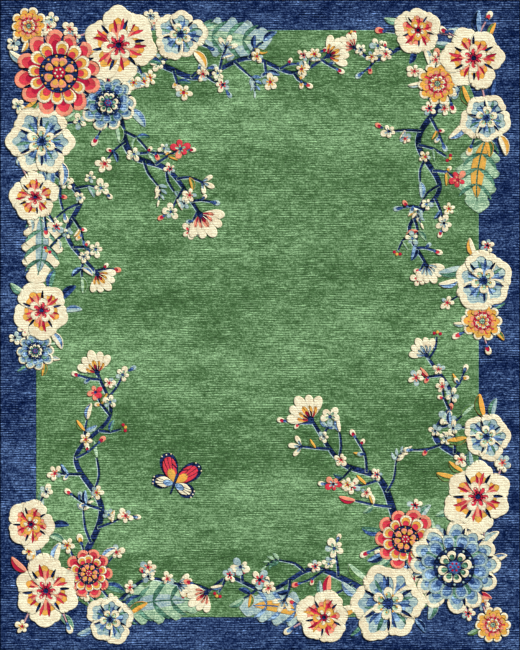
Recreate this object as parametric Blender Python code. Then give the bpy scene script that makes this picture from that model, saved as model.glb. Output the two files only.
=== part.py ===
"""Hand-tufted wool rug, eight by ten feet, lying flat with its pile up.

One tufted body carries the navy border, the raised green field and the carved blooms in its upper
face. A dark overcast edge is sewn round it in four runs. Metres, +Z up, origin under the middle.
"""

import math
from collections import namedtuple

import bmesh
import bpy
from mathutils import Vector
from mathutils.geometry import delaunay_2d_cdt

# Driving dimensions of the rug
RUG_WIDTH = 2.44
RUG_LENGTH = 3.05
EDGE_WIDTH = 0.006
EDGE_HEIGHT = 0.0105
SEAM_GAP = 0.0003

# Heights of the pile above the floor
BORDER_PILE = 0.012
FIELD_RISE = 0.0015
PETAL_RISE = 0.003
HEART_RISE = 0.001
HEART_SINK = -0.0015

# Widths of the slopes that the shears cut round each raised area
RIM_ROUND = 0.004
FIELD_SLOPE = 0.006
PETAL_SLOPE = 0.005

# The field: its distance from the rug's four edges, and the radius of its corners
BORDER_LEFT = 0.174
BORDER_RIGHT = 0.197
BORDER_HEAD = 0.145
BORDER_FOOT = 0.160
FIELD_CORNER = 0.45
CORNER_STEPS = 10

# Outlines nearer together than this share their points
SMALLEST_STEP = 0.0008

# Yarn colours, as linear red, green and blue
YARNS = {
    "navy": (0.024, 0.051, 0.125),
    "green": (0.133, 0.258, 0.114),
    "cream": (0.871, 0.783, 0.527),
    "coral": (0.807, 0.156, 0.114),
    "blue": (0.098, 0.202, 0.392),
    "gold": (0.839, 0.413, 0.048),
    "overcast": (0.0044, 0.0144, 0.0529),
}

# How deep the notches between petals are, points along each petal's edge, and the heart's share
Flower = namedtuple("Flower", "notch petal_points heart_share heart_rise")
ROSE = Flower(notch=0.10, petal_points=6, heart_share=0.24, heart_rise=HEART_SINK)
DAHLIA = Flower(notch=0.12, petal_points=4, heart_share=0.46, heart_rise=HEART_RISE)

Bloom = namedtuple("Bloom", "x y radius flower petals yarn")

# Later blooms lie over earlier ones
BLOOMS = [
    # Upper left, a full corner
    Bloom(-0.37, 1.36, 0.125, ROSE, 5, "cream"),
    Bloom(-1.05, 0.60, 0.120, ROSE, 5, "cream"),
    Bloom(-1.08, 1.40, 0.085, DAHLIA, 10, "gold"),
    Bloom(-0.66, 1.31, 0.185, ROSE, 6, "cream"),
    Bloom(-1.02, 0.86, 0.170, ROSE, 6, "cream"),
    Bloom(-0.71, 1.04, 0.135, DAHLIA, 10, "blue"),
    Bloom(-0.94, 1.18, 0.205, DAHLIA, 12, "coral"),
    # Upper right
    Bloom(0.74, 1.38, 0.115, ROSE, 5, "cream"),
    Bloom(1.06, 0.97, 0.125, ROSE, 5, "cream"),
    Bloom(0.83, 1.13, 0.100, DAHLIA, 10, "gold"),
    Bloom(1.00, 1.25, 0.155, ROSE, 6, "cream"),
    # The middle of both sides
    Bloom(-1.05, -0.12, 0.090, DAHLIA, 10, "blue"),
    Bloom(-1.02, 0.07, 0.140, ROSE, 5, "cream"),
    Bloom(1.04, 0.02, 0.095, DAHLIA, 10, "coral"),
    Bloom(1.045, 0.21, 0.150, ROSE, 5, "cream"),
    # Lower left
    Bloom(-0.70, -1.375, 0.120, ROSE, 5, "cream"),
    Bloom(-1.07, -0.93, 0.125, ROSE, 5, "cream"),
    Bloom(-0.80, -1.16, 0.115, DAHLIA, 10, "coral"),
    Bloom(-1.00, -1.24, 0.165, ROSE, 6, "cream"),
    # Lower right, a full corner
    Bloom(0.30, -1.365, 0.130, ROSE, 5, "cream"),
    Bloom(1.09, -1.40, 0.085, DAHLIA, 10, "gold"),
    Bloom(1.06, -0.52, 0.120, ROSE, 5, "cream"),
    Bloom(0.60, -1.30, 0.190, ROSE, 6, "cream"),
    Bloom(1.02, -0.80, 0.175, ROSE, 6, "cream"),
    Bloom(0.68, -1.00, 0.145, DAHLIA, 10, "coral"),
    Bloom(0.91, -1.13, 0.215, DAHLIA, 12, "blue"),
]


def clear_scene():
    for obj in list(bpy.data.objects):
        bpy.data.objects.remove(obj)


def yarn_material(name):
    material = bpy.data.materials.new(f"{name}_yarn")
    material.use_nodes = True
    shader = material.node_tree.nodes["Principled BSDF"]
    shader.inputs["Base Color"].default_value = (*YARNS[name], 1)
    shader.inputs["Roughness"].default_value = 0.95
    shader.inputs["Metallic"].default_value = 0
    shader.inputs["Sheen Weight"].default_value = 0.25
    return material


def share_inside(depth, slope):
    """0 on an outline, rising to 1 where the slope inside it ends."""
    return min(1.0, max(0.0, depth / slope))


def blend(low, high, share):
    return low + (high - low) * share


def field_depth(x, y):
    """How far a point lies inside the green field's outline."""
    left, right = BORDER_LEFT - RUG_WIDTH / 2, RUG_WIDTH / 2 - BORDER_RIGHT
    foot, head = BORDER_FOOT - RUG_LENGTH / 2, RUG_LENGTH / 2 - BORDER_HEAD
    from_side = min(x - left, right - x)
    from_end = min(y - foot, head - y)
    if min(from_side, from_end) < 0 or max(from_side, from_end) >= FIELD_CORNER:
        return min(from_side, from_end)
    return FIELD_CORNER - math.hypot(FIELD_CORNER - from_side, FIELD_CORNER - from_end)


def field_outline(inset):
    """The field's rounded rectangle, or a line parallel to it and inside it."""
    radius = FIELD_CORNER - inset
    across = RUG_WIDTH / 2 - BORDER_RIGHT - FIELD_CORNER, BORDER_LEFT - RUG_WIDTH / 2 + FIELD_CORNER
    along = RUG_LENGTH / 2 - BORDER_HEAD - FIELD_CORNER, BORDER_FOOT - RUG_LENGTH / 2 + FIELD_CORNER
    centres = [(across[0], along[0]), (across[1], along[0]), (across[1], along[1]), (across[0], along[1])]
    points = []
    for quarter, (x, y) in enumerate(centres):
        for step in range(CORNER_STEPS + 1):
            angle = math.pi / 2 * (quarter + step / CORNER_STEPS)
            points.append(Vector((x + radius * math.cos(angle), y + radius * math.sin(angle))))
    return points


def petal_reach(bloom, angle):
    """The bloom's radius at an angle: full at each petal's tip and less at the notches."""
    lobe = abs(math.cos(bloom.petals * angle / 2))
    return bloom.radius * (1 - bloom.flower.notch * (1 - lobe))


def bloom_depth(bloom, x, y, share=1.0):
    """How far a point lies inside the bloom, or inside its heart where share is less than 1."""
    away_x, away_y = x - bloom.x, y - bloom.y
    return share * petal_reach(bloom, math.atan2(away_y, away_x)) - math.hypot(away_x, away_y)


def bloom_outline(bloom, share, inset):
    count = bloom.petals * bloom.flower.petal_points
    points = []
    for step in range(count):
        angle = 2 * math.pi * step / count
        reach = share * petal_reach(bloom, angle) - inset
        points.append(Vector((bloom.x + reach * math.cos(angle), bloom.y + reach * math.sin(angle))))
    return points


def pile_height(x, y):
    """The height of the pile: the border, the field over it, then each bloom and its heart."""
    height = blend(BORDER_PILE, BORDER_PILE + FIELD_RISE, share_inside(field_depth(x, y), FIELD_SLOPE))
    for bloom in BLOOMS:
        depth = bloom_depth(bloom, x, y)
        if depth > 0:
            petals = BORDER_PILE + PETAL_RISE
            height = blend(height, petals, share_inside(depth, PETAL_SLOPE))
            heart = share_inside(bloom_depth(bloom, x, y, bloom.flower.heart_share), PETAL_SLOPE)
            height = blend(height, petals + bloom.flower.heart_rise, heart)
    return height


def yarn_at(x, y):
    """The yarn that shows at a point: the uppermost bloom's, or else the field's or the border's."""
    for bloom in reversed(BLOOMS):
        if bloom_depth(bloom, x, y) > 0:
            return bloom.yarn
    return "green" if field_depth(x, y) > 0 else "navy"


def covered(point, blooms):
    return any(bloom_depth(bloom, point.x, point.y) > SMALLEST_STEP for bloom in blooms)


def carved_lines():
    """Every outline that shapes the pile, with the blooms that lie over it."""
    lines = [(field_outline(0), BLOOMS), (field_outline(FIELD_SLOPE), BLOOMS)]
    for index, bloom in enumerate(BLOOMS):
        above = BLOOMS[index + 1 :]
        for share in (1.0, bloom.flower.heart_share):
            lines.append((bloom_outline(bloom, share, 0), above))
            lines.append((bloom_outline(bloom, share, PETAL_SLOPE), above))
    return lines


def rectangle(inset):
    """The rug body's outline, counter-clockwise, moved inwards."""
    x = RUG_WIDTH / 2 - EDGE_WIDTH - SEAM_GAP - inset
    y = RUG_LENGTH / 2 - EDGE_WIDTH - SEAM_GAP - inset
    return [Vector((-x, -y)), Vector((x, -y)), Vector((x, y)), Vector((-x, y))]


def add_line(points, edges, line, above):
    """Adds a closed line to the plan, without the stretches that other blooms cover."""
    first = len(points)
    hidden = [covered(point, above) for point in line]
    points.extend(line)
    for step in range(len(line)):
        following = (step + 1) % len(line)
        if not (hidden[step] and hidden[following]):
            edges.append((first + step, first + following))


def drop_unused(points, edges):
    """The points that an edge uses, and the edges numbered to match."""
    used = sorted({index for edge in edges for index in edge})
    place = {index: order for order, index in enumerate(used)}
    return [points[index] for index in used], [(place[a], place[b]) for a, b in edges]


def pile_plan():
    """The upper face as a flat triangle mesh whose edges follow every carved line."""
    points, edges = [], []
    add_line(points, edges, rectangle(RIM_ROUND), [])
    for line, above in carved_lines():
        add_line(points, edges, line, above)
    points, edges = drop_unused(points, edges)
    plan = delaunay_2d_cdt(points, edges, [], 0, SMALLEST_STEP)
    return plan[0], plan[2]


def make_rug_body():
    mesh = bpy.data.meshes.new("tufted_rug")
    order = list(YARNS)
    for name in order:
        mesh.materials.append(yarn_material(name))
    body = bmesh.new()
    flat_points, triangles = pile_plan()
    tops = [body.verts.new((p.x, p.y, pile_height(p.x, p.y))) for p in flat_points]
    for triangle in triangles:
        face = body.faces.new([tops[index] for index in triangle])
        middle = face.calc_center_median()
        face.material_index = order.index(yarn_at(middle.x, middle.y))
    close_rim(body, tops)
    bmesh.ops.recalc_face_normals(body, faces=body.faces)
    body.to_mesh(mesh)
    body.free()
    return add_object("tufted_rug", mesh)


def close_rim(body, tops):
    """Rounds the pile over at the rug's edge, and takes it down to a flat underside."""
    upper = [min(tops, key=lambda vert: (vert.co.xy - corner).length) for corner in rectangle(RIM_ROUND)]
    shoulder = BORDER_PILE - RIM_ROUND
    loops = [(RIM_ROUND * 0.3, BORDER_PILE - RIM_ROUND * 0.3), (0, shoulder), (0, 0)]
    for inset, height in loops:
        lower = [body.verts.new((p.x, p.y, height)) for p in rectangle(inset)]
        for side in range(4):
            following = (side + 1) % 4
            body.faces.new([upper[side], lower[side], lower[following], upper[following]])
        upper = lower
    body.faces.new(upper)


def edge_section():
    """The overcast edge across its run: (distance in from the rug's outer edge, height)."""
    half = EDGE_WIDTH / 2
    shoulder = EDGE_HEIGHT - half
    points = [(0, 0)]
    for step in range(7):
        angle = math.pi * (1 - step / 6)
        points.append((half + half * math.cos(angle), shoulder + half * math.sin(angle)))
    points.append((EDGE_WIDTH, 0))
    return points


def make_edge_run(name, length, away, turn, material):
    """One side's overcast edge, mitred at both ends. It runs along its own X, away from the middle."""
    mesh = bpy.data.meshes.new(name)
    mesh.materials.append(material)
    run = bmesh.new()
    mitre_gap = SEAM_GAP / math.sqrt(2)
    ends = []
    for direction in (-1, 1):
        ring = []
        for inwards, height in edge_section():
            reach = length / 2 - inwards - mitre_gap
            ring.append(run.verts.new((direction * reach, inwards - away, height)))
        ends.append(ring)
    start, finish = ends
    for step in range(len(start)):
        following = (step + 1) % len(start)
        run.faces.new([start[step], finish[step], finish[following], start[following]])
    run.faces.new(start)
    run.faces.new(reversed(finish))
    bmesh.ops.recalc_face_normals(run, faces=run.faces)
    run.to_mesh(mesh)
    run.free()
    edge = add_object(name, mesh)
    edge.rotation_euler.z = turn
    return edge


def add_object(name, mesh):
    obj = bpy.data.objects.new(name, mesh)
    bpy.context.scene.collection.objects.link(obj)
    mesh.shade_smooth()
    mesh.set_sharp_from_angle(angle=math.radians(18))
    return obj


def main():
    clear_scene()
    make_rug_body()
    overcast = yarn_material("overcast")
    sides = ["edge_foot", "edge_right", "edge_head", "edge_left"]
    for quarter, name in enumerate(sides):
        across_ends = quarter % 2 == 0
        length = RUG_WIDTH if across_ends else RUG_LENGTH
        away = (RUG_LENGTH if across_ends else RUG_WIDTH) / 2
        make_edge_run(name, length, away, math.pi / 2 * quarter, overcast)


main()
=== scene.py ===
"""Hand-tufted wool rug, dressed: the carved and coloured pile, and the overcast yarn edge round it.

The flower design is a list of outlines laid one over another, as a tufter fills them. The pile is one
closed mesh whose edges follow those outlines, so each area has its own yarn and its own height.
Points of the design are complex numbers, x + yj, in metres from the rug's middle.
"""

import math
import random
from collections import namedtuple

import bpy
import numpy as np
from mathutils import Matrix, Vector
from mathutils.geometry import delaunay_2d_cdt


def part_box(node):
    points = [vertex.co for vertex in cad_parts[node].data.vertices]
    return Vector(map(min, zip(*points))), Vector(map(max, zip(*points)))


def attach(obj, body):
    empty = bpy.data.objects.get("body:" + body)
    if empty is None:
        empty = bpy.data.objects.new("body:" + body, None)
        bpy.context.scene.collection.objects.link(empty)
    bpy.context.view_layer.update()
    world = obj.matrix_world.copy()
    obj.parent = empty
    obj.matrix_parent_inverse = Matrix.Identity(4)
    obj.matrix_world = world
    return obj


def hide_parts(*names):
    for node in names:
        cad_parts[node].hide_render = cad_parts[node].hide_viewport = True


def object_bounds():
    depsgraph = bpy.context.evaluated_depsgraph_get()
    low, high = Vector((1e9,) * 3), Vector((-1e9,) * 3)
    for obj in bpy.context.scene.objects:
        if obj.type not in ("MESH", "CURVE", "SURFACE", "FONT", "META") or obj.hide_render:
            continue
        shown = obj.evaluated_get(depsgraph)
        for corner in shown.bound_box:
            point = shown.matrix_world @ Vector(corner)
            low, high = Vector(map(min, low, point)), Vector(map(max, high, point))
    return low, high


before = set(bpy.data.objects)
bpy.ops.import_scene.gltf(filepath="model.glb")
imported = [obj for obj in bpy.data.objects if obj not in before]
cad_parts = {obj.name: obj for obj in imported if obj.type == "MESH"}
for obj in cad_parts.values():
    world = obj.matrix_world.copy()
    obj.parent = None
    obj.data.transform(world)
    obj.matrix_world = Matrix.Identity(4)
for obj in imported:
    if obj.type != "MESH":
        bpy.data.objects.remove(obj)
cad_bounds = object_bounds()
chance = random.Random(11)

# The frame's sizes
RUG_LOW, RUG_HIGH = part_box("tufted_rug")
WHOLE_LOW, WHOLE_HIGH = cad_bounds
BORDER_PILE = 0.012

# The field's distance from the rug's outer edges, as in the frame
BORDER_LEFT = 0.174
BORDER_RIGHT = 0.197
BORDER_HEAD = 0.145
BORDER_FOOT = 0.160
FIELD_CORNER = 0.45

# Carving: rises and lifts, the widths of slopes and banks, and the rounding of the rug's rim
FIELD_RISE = 0.0015
FIELD_SLOPE = 0.0025
PETAL_SLOPE = 0.0028
FINE_SLOPE = 0.0024
UNDER_PETAL = -0.0016
STEM_BANK = 0.0028
RIM_ROUND = 0.004

# The pile's mesh: its longest and shortest edges, clearances, loose grid, and points measured at once
LONGEST_EDGE = 0.03
CLEAR_RIM = 0.008
SMALLEST_STEP = 0.0005
HIDDEN_DEPTH = 0.002
GROUND_STEP = 0.06
MOST_AT_ONCE = 4000

# A yarn: its colour and the colour it is streaked with, as 8-bit sRGB, and its rise over the border
Yarn = namedtuple("Yarn", "tone streak rise")
YARNS = {
    "navy": Yarn((16, 39, 92), (57, 76, 107), 0.0),
    "green": Yarn((82, 124, 74), (112, 144, 104), FIELD_RISE),
    "ink": Yarn((12, 25, 50), (38, 56, 104), 0.0006),
    "cream": Yarn((242, 224, 186), (252, 250, 216), 0.0046),
    "salmon": Yarn((244, 168, 134), (240, 136, 110), 0.0041),
    "coral": Yarn((230, 76, 84), (214, 52, 76), 0.0037),
    "red": Yarn((206, 38, 68), (162, 26, 60), 0.0028),
    "gold": Yarn((240, 190, 90), (232, 160, 68), 0.0040),
    "denim": Yarn((72, 112, 164), (148, 180, 206), 0.0028),
    "deep": Yarn((38, 64, 122), (82, 114, 164), 0.0018),
    "teal": Yarn((66, 116, 94), (116, 162, 136), 0.0023),
    "moss": Yarn((72, 114, 64), (110, 146, 86), 0.0023),
    "mist": Yarn((146, 178, 186), (192, 210, 196), 0.0031),
    "sage": Yarn((138, 180, 146), (190, 214, 178), 0.0030),
    "blush": Yarn((200, 160, 160), (180, 134, 142), 0.0024),
}

# A stem, its bank and its painted highlight trim are dyed and carved by what they cross, the field or the
# border
Crossing = namedtuple("Crossing", "field_yarn field_rise border_yarn border_rise")
CROSSINGS = {
    "bank": Crossing("green", 0.0, "navy", 0.0),
    "stem": Crossing("ink", 0.0003, "blush", YARNS["blush"].rise),
    "trim": Crossing("mist", 0.0010, "navy", 0.0),
}
# A stem's trim is a pale line of painted highlight along its lower left side, where the key light from the
# upper right falls on its channel's edge
HIGHLIGHT_TRIM_OFFSET = -0.0024 - 0.0024j

# A laid area: its outline, yarn, carved slope's width, lift over the yarn's height, and shade from -1 to 1
Area = namedtuple("Area", "outline yarn slope lift shade")
design = []


def divided(outline):
    """The outline with its long edges cut into short ones."""
    pieces = []
    for start, end in zip(outline, np.roll(outline, -1)):
        count = max(1, math.ceil(abs(end - start) / LONGEST_EDGE))
        pieces.append(start + (end - start) * np.arange(count) / count)
    return np.concatenate(pieces)


def lay(outline, yarn, slope=PETAL_SLOPE, lift=0.0):
    """Adds an area over what is laid so far. Lift is how far it stands over its yarn's usual height."""
    outline = divided(np.asarray(outline, complex))
    x, y = RUG_HIGH.x - CLEAR_RIM, RUG_HIGH.y - CLEAR_RIM
    outline = np.clip(outline.real, -x, x) + 1j * np.clip(outline.imag, -y, y)
    design.append(Area(outline, yarn, slope, lift, chance.uniform(-1, 1)))


def heading(angle):
    """The unit vector at an angle."""
    return complex(math.cos(angle), math.sin(angle))


def turn_steps(count, start=0.0):
    """Evenly spaced angles all round."""
    return start + np.linspace(0, 2 * math.pi, count, endpoint=False)


def placed(outline, at, size, angle):
    return at + outline * size * heading(angle)


def lay_disc(at, radius, yarn, points, wobble=0.04):
    """A disc whose edge swells in three places, turned differently from one disc to the next."""
    around = turn_steps(points)
    reach = radius * (1 + wobble * np.sin(3 * around + 40 * at.real))
    lay(at + reach * np.exp(1j * around), yarn, FINE_SLOPE)


def petal_outline(width, points, base, frills=0, frill_depth=0.1):
    """A unit petal along +X, from its narrow base at 0 to its tip at 1, frilled at the tip."""
    around = turn_steps(points)
    bulge = np.abs(np.sin(around / 2))
    outline = (1 - np.cos(around)) / 2 + 1j * width * np.sin(around) * bulge**base
    if frills:
        scallop = 1 - np.abs(np.cos(frills * (around - math.pi) / 2))
        middle = 0.35
        outline = middle + (outline - middle) * (1 - frill_depth * bulge**5 * scallop)
    return outline


def leaf_outline(width, bend, points=14):
    """A unit leaf along +X, pointed at both ends and bent to one side."""
    around = turn_steps(points)
    along = (1 - np.cos(around)) / 2
    half = np.sin(around) * (0.55 + 0.45 * np.sqrt(np.abs(np.sin(around / 2)))) * (1.15 - 0.4 * along)
    across = width * np.sign(half) * np.abs(half) ** 1.15
    return along + 1j * (across + bend * 4 * along * (1 - along))


def smooth_line(points, step):
    """A smooth curve through the points, with a point every step."""
    first, last = 2 * points[0] - points[1], 2 * points[-1] - points[-2]
    held = [first, *points, last]
    line = []
    for a, b, c, d in zip(held, held[1:], held[2:], held[3:]):
        t = np.linspace(0, 1, max(2, round(abs(c - b) / step)), endpoint=False)
        bend = (2 * a - 5 * b + 4 * c - d) * t**2 + (3 * b - a - 3 * c + d) * t**3
        line.append((2 * b + (c - a) * t + bend) / 2)
    line.append([points[-1]])
    return np.concatenate(line)


def lay_ribbon(points, start_width, end_width, yarn, step=0.018):
    """A tapering line of yarn. Its centre line and headings come back, for what grows from it."""
    line = smooth_line(points, step)
    ahead = np.gradient(line)
    ahead /= np.abs(ahead)
    half = np.linspace(start_width, end_width, len(line)) / 2
    layers = [(yarn, 0, 0)]
    if yarn == "stem":
        # A stem also gets a sunk bank, and a pale painted highlight along its lower left side
        layers = [("bank", STEM_BANK, 0), ("trim", 0, HIGHLIGHT_TRIM_OFFSET), *layers]
    for name, wider, offset in layers:
        across = 1j * ahead * (half + wider)
        lay(np.concatenate([line + across, (line - across)[::-1]]) + offset, name, FINE_SLOPE)
    return line, np.angle(ahead)


# A petal's inner zones are narrower than the petal, for their length, and more deeply frilled
INNER_WIDTH = 0.9
INNER_FRILL = 2.4


def lay_zones(at, angle, size, width, zones, frills=0, frill_depth=0.1, points=24, base=0.8, lift=0.0):
    """A petal of several yarns, the widest first. A zone is (its share of the petal, its yarn)."""
    for order, (share, yarn) in enumerate(zones):
        inner = order > 0
        outline = petal_outline(
            width * (INNER_WIDTH if inner else 1),
            max(14, points - 6 * order),
            base,
            frills,
            frill_depth * (INNER_FRILL if inner else 1),
        )
        lay(placed(outline, at, size * share, angle), yarn, FINE_SLOPE if inner else PETAL_SLOPE, lift)


def ring_places(count):
    """The places of a ring of petals, the lower ones first, with how high each petal lies."""
    lower = [(place, UNDER_PETAL) for place in range(0, count, 2)]
    return lower + [(place, 0) for place in range(1, count, 2)]


def lay_petal_ring(at, count, inner, size, width, zones, turn=0.0, frills=0, points=18, uneven=0.05):
    """A ring of petals, every other one laid over its neighbours."""
    for place, lift in ring_places(count):
        angle = turn + 2 * math.pi * place / count + chance.gauss(0, uneven)
        length = size * (1 + chance.gauss(0, uneven))
        lay_zones(at + inner * heading(angle), angle, length, width, zones, frills, points=points, lift=lift)


# A dahlia's yarns, from its outer petals to its core
Dahlia = namedtuple("Dahlia", "outer second disc seeds inner core dots")
CORAL_DAHLIA = Dahlia(
    [(1, "salmon"), (0.84, "coral"), (0.60, "red")],
    [(1, "cream"), (0.84, "gold"), (0.60, "coral")],
    "ink",
    "gold",
    [(1, "salmon"), (0.68, "gold")],
    "red",
    "cream",
)
BLUE_DAHLIA = Dahlia(
    [(1, "cream"), (0.86, "mist"), (0.68, "denim"), (0.48, "teal")],
    [(1, "mist"), (0.84, "denim"), (0.5, "deep")],
    "ink",
    "mist",
    [(1, "cream"), (0.66, "teal")],
    "deep",
    "red",
)
GOLD_DAHLIA = Dahlia(
    [(1, "cream"), (0.82, "gold"), (0.5, "coral")],
    [(1, "gold"), (0.66, "salmon")],
    "red",
    "cream",
    [(1, "cream"), (0.7, "gold")],
    "teal",
    "cream",
)

# A rose's yarns: its petals from the rim inwards, strokes, inner petals, eye, stamens and their tips
Rose = namedtuple("Rose", "petals strokes inner eye stamens tips")
PALE_ROSE = Rose(
    [(1, "cream"), (0.68, "gold"), (0.54, "salmon")],
    ("coral", "red"),
    [(1, "cream"), (0.60, "coral")],
    "red",
    "ink",
    "cream",
)
COOL_ROSE = Rose(
    [(1, "cream"), (0.80, "mist"), (0.58, "denim")],
    ("deep", "teal"),
    [(1, "cream"), (0.64, "sage")],
    "deep",
    "ink",
    "gold",
)
WARM_ROSE = Rose(
    [(1, "cream"), (0.66, "salmon"), (0.52, "coral")],
    ("red", "gold"),
    [(1, "gold"), (0.62, "cream")],
    "red",
    "ink",
    "gold",
)


def lay_notches(at, count, start, size, turn):
    """Dark strokes between the petals of a ring."""
    for angle in turn_steps(count, turn + math.pi / count):
        lay(placed(leaf_outline(0.15, 0.04, 10), at + start * heading(angle), size, angle), "ink", FINE_SLOPE)


def lay_dahlia(at, radius, yarns, turn, petals):
    """A full dahlia: two rings of petals, a disc with seeds, a small inner ring and a dotted core."""
    lay_petal_ring(at, petals, radius * 0.38, radius * 0.62, 5.3 / petals, yarns.outer, turn, frills=3)
    lay_notches(at, petals, radius * 0.58, radius * 0.30, turn)
    lay_petal_ring(at, petals, radius * 0.34, radius * 0.40, 5.4 / petals, yarns.second, turn + 0.3)
    lay_disc(at, radius * 0.45, yarns.disc, 26, 0.02)
    for angle in turn_steps(12, turn):
        lay_disc(at + radius * 0.385 * heading(angle), radius * 0.030, yarns.seeds, 6)
    lay_petal_ring(at, 8, radius * 0.14, radius * 0.22, 0.56, yarns.inner, turn + 0.2, points=16)
    lay_disc(at, radius * 0.15, yarns.core, 14)
    for angle in turn_steps(6, turn):
        lay_disc(at + radius * 0.085 * heading(angle), radius * 0.028, yarns.dots, 7)


def lay_rose(at, radius, yarns, turn, petals):
    """An open rose: uneven frilled petals shaded inwards, a ring of small ones over them, and stamens."""
    for place, lift in ring_places(petals):
        angle = turn + 2 * math.pi * place / petals + chance.gauss(0, 0.09)
        length = radius * chance.uniform(0.88, 1.08)
        width = 3.1 / petals * chance.uniform(0.9, 1.1)
        lay_zones(at, angle, length, width, yarns.petals, 5, 0.13, 30, 0.7, lift)
        for lean, yarn in zip((-0.20, 0.16), yarns.strokes):
            stroke = leaf_outline(0.14, chance.uniform(-0.12, 0.12), 10)
            root = at + 0.30 * length * heading(angle + lean)
            reach = length * chance.uniform(0.26, 0.46)
            lay(placed(stroke, root, reach, angle + lean), yarn, FINE_SLOPE, lift)
    lay_notches(at, petals, radius * 0.34, radius * 0.34, turn)
    lay_petal_ring(at, petals, radius * 0.08, radius * 0.34, 2.8 / petals, yarns.inner, turn + 0.5, 3, 16)
    lay_disc(at, radius * 0.14, yarns.eye, 14, 0.08)
    for angle in turn_steps(9, turn):
        stamen = [at + radius * share * heading(angle) for share in (0.08, 0.20)]
        lay_ribbon(stamen, radius * 0.024, radius * 0.02, yarns.stamens, step=0.05)
        lay_disc(at + radius * 0.225 * heading(angle), radius * 0.030, yarns.tips, 6)
    lay_disc(at, radius * 0.08, yarns.stamens, 10)


# What the vines' twigs bear, in metres: a twig's width at both ends, buds, flowers, berries and leaves
TWIG_ROOT = 0.012
TWIG_END = 0.008
SIDE_BUD = 0.036
THIRD_BUD = 0.038
END_BUD = 0.040
LARGE_BUD = 0.044
SIDE_BLOSSOM = 0.030
TWIG_CUP = 0.065
BERRY_REACH = 0.020
BERRY_RADIUS = 0.0085
SIDE_LEAF = 0.064
END_LEAF = 0.080
FERN_LENGTH = 0.085
# How far a side leaf or bud leans from its twig, as an angle
SIDE_LEAN = 0.9

# A blossom's petals, and its hearts with their eyes
PALE_PETALS = ("cream", "cream", "cream", "mist")
CORAL_PETALS = ("coral", "coral", "salmon")
BLOSSOM_HEARTS = [("salmon", "red"), ("mist", "ink"), ("gold", "red"), ("sage", "deep"), ("coral", "ink")]


def lay_blossom(at, radius, turn, tones=PALE_PETALS):
    """A small open blossom with uneven petals, each in one of the given yarns."""
    heart, eye = chance.choice(BLOSSOM_HEARTS)
    for place, angle in enumerate(turn_steps(5, turn)):
        angle += chance.gauss(0, 0.10)
        length = radius * chance.uniform(0.80, 1.20)
        lift = UNDER_PETAL if place % 2 else 0
        outline = petal_outline(chance.uniform(0.38, 0.50), 12, chance.uniform(0.5, 1.0), 2, 0.14)
        lay(placed(outline, at, length, angle), chance.choice(tones), PETAL_SLOPE, lift)
        lay(placed(petal_outline(0.30, 8, 0.8), at, length * 0.52, angle), heart, FINE_SLOPE, lift)
    lay_disc(at, radius * 0.20, eye, 8)


# A cup flower's yarns, from the rim of its petals inwards
WARM_CUP = ("cream", "gold", "red")
PINK_CUP = ("cream", "salmon", "red")
COOL_CUP = ("cream", "mist", "denim")


def lay_cup(at, size, angle, tones, petals=5):
    """A cup-shaped flower from the side: pointed petals fanned out of a calyx."""
    fan = 1.9
    middle = (petals - 1) / 2
    for place in sorted(range(petals), key=lambda number: -abs(number - middle)):
        way = angle + fan * (place / (petals - 1) - 0.5)
        length = size * (1.0 if abs(place - middle) < 1 else 0.9)
        zones = [(1, tones[0]), (0.56, tones[1]), (0.36, tones[2])]
        lay_zones(at, way, length, 0.27, zones, points=20, base=1.0)
        vein = [at + 0.16 * length * heading(way), at + 0.60 * length * heading(way)]
        lay_ribbon(vein, size * 0.03, size * 0.012, "ink" if place % 2 else tones[2], step=0.05)
    for way in (-0.6, -0.2, 0.2, 0.6):
        lay_ribbon([at, at + 0.30 * size * heading(angle + way)], size * 0.07, size * 0.02, "ink", step=0.05)
    lay_disc(at, size * 0.12, "ink", 10)


# A bud's yarns: its heart and its tip
BUD_TONES = [
    ("red", "salmon"),
    ("coral", "cream"),
    ("denim", "cream"),
    ("gold", "cream"),
    ("red", "cream"),
    ("deep", "mist"),
]


def lay_bud(at, size, angle):
    heart, tip = chance.choice(BUD_TONES)
    lay(placed(petal_outline(0.36, 12, 0.5), at, size, angle), tip)
    lay(placed(petal_outline(0.34, 10, 0.5), at, size * 0.66, angle), heart, FINE_SLOPE)
    cup = placed(petal_outline(0.42, 10, 0.3), at - 0.12 * size * heading(angle), size * 0.42, angle)
    lay(cup, "deep", FINE_SLOPE)


def lay_leaf(at, size, angle, light, dark, bend=0.1):
    """A two-toned leaf, darker along one side of its spine."""
    outline = leaf_outline(0.24, bend)
    lay(placed(outline, at, size, angle), light)
    along = np.linspace(0.05, 0.95, 8)
    spine = along + 1j * bend * 4 * along * (1 - along)
    edge = outline[1 : len(outline) // 2][::-1] * 0.92 + 0.04
    lay(placed(np.concatenate([spine, edge]), at, size, angle), dark, FINE_SLOPE)


def lay_berries(at, angle):
    for lean, yarn in ((0.8, "red"), (0.0, "gold"), (-0.8, "red")):
        lay_disc(at + BERRY_REACH * heading(angle + lean), BERRY_RADIUS, yarn, 8)


# A leaf's yarns, the light side and the dark one
LEAF_TONES = [
    ("mist", "denim"),
    ("denim", "ink"),
    ("teal", "deep"),
    ("sage", "teal"),
    ("cream", "mist"),
    ("cream", "denim"),
    ("gold", "moss"),
    ("sage", "moss"),
    ("salmon", "red"),
    ("mist", "teal"),
    ("deep", "ink"),
    ("cream", "gold"),
]
FERN_TONES = (("mist", "denim"), ("sage", "teal"), ("cream", "mist"))


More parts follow.
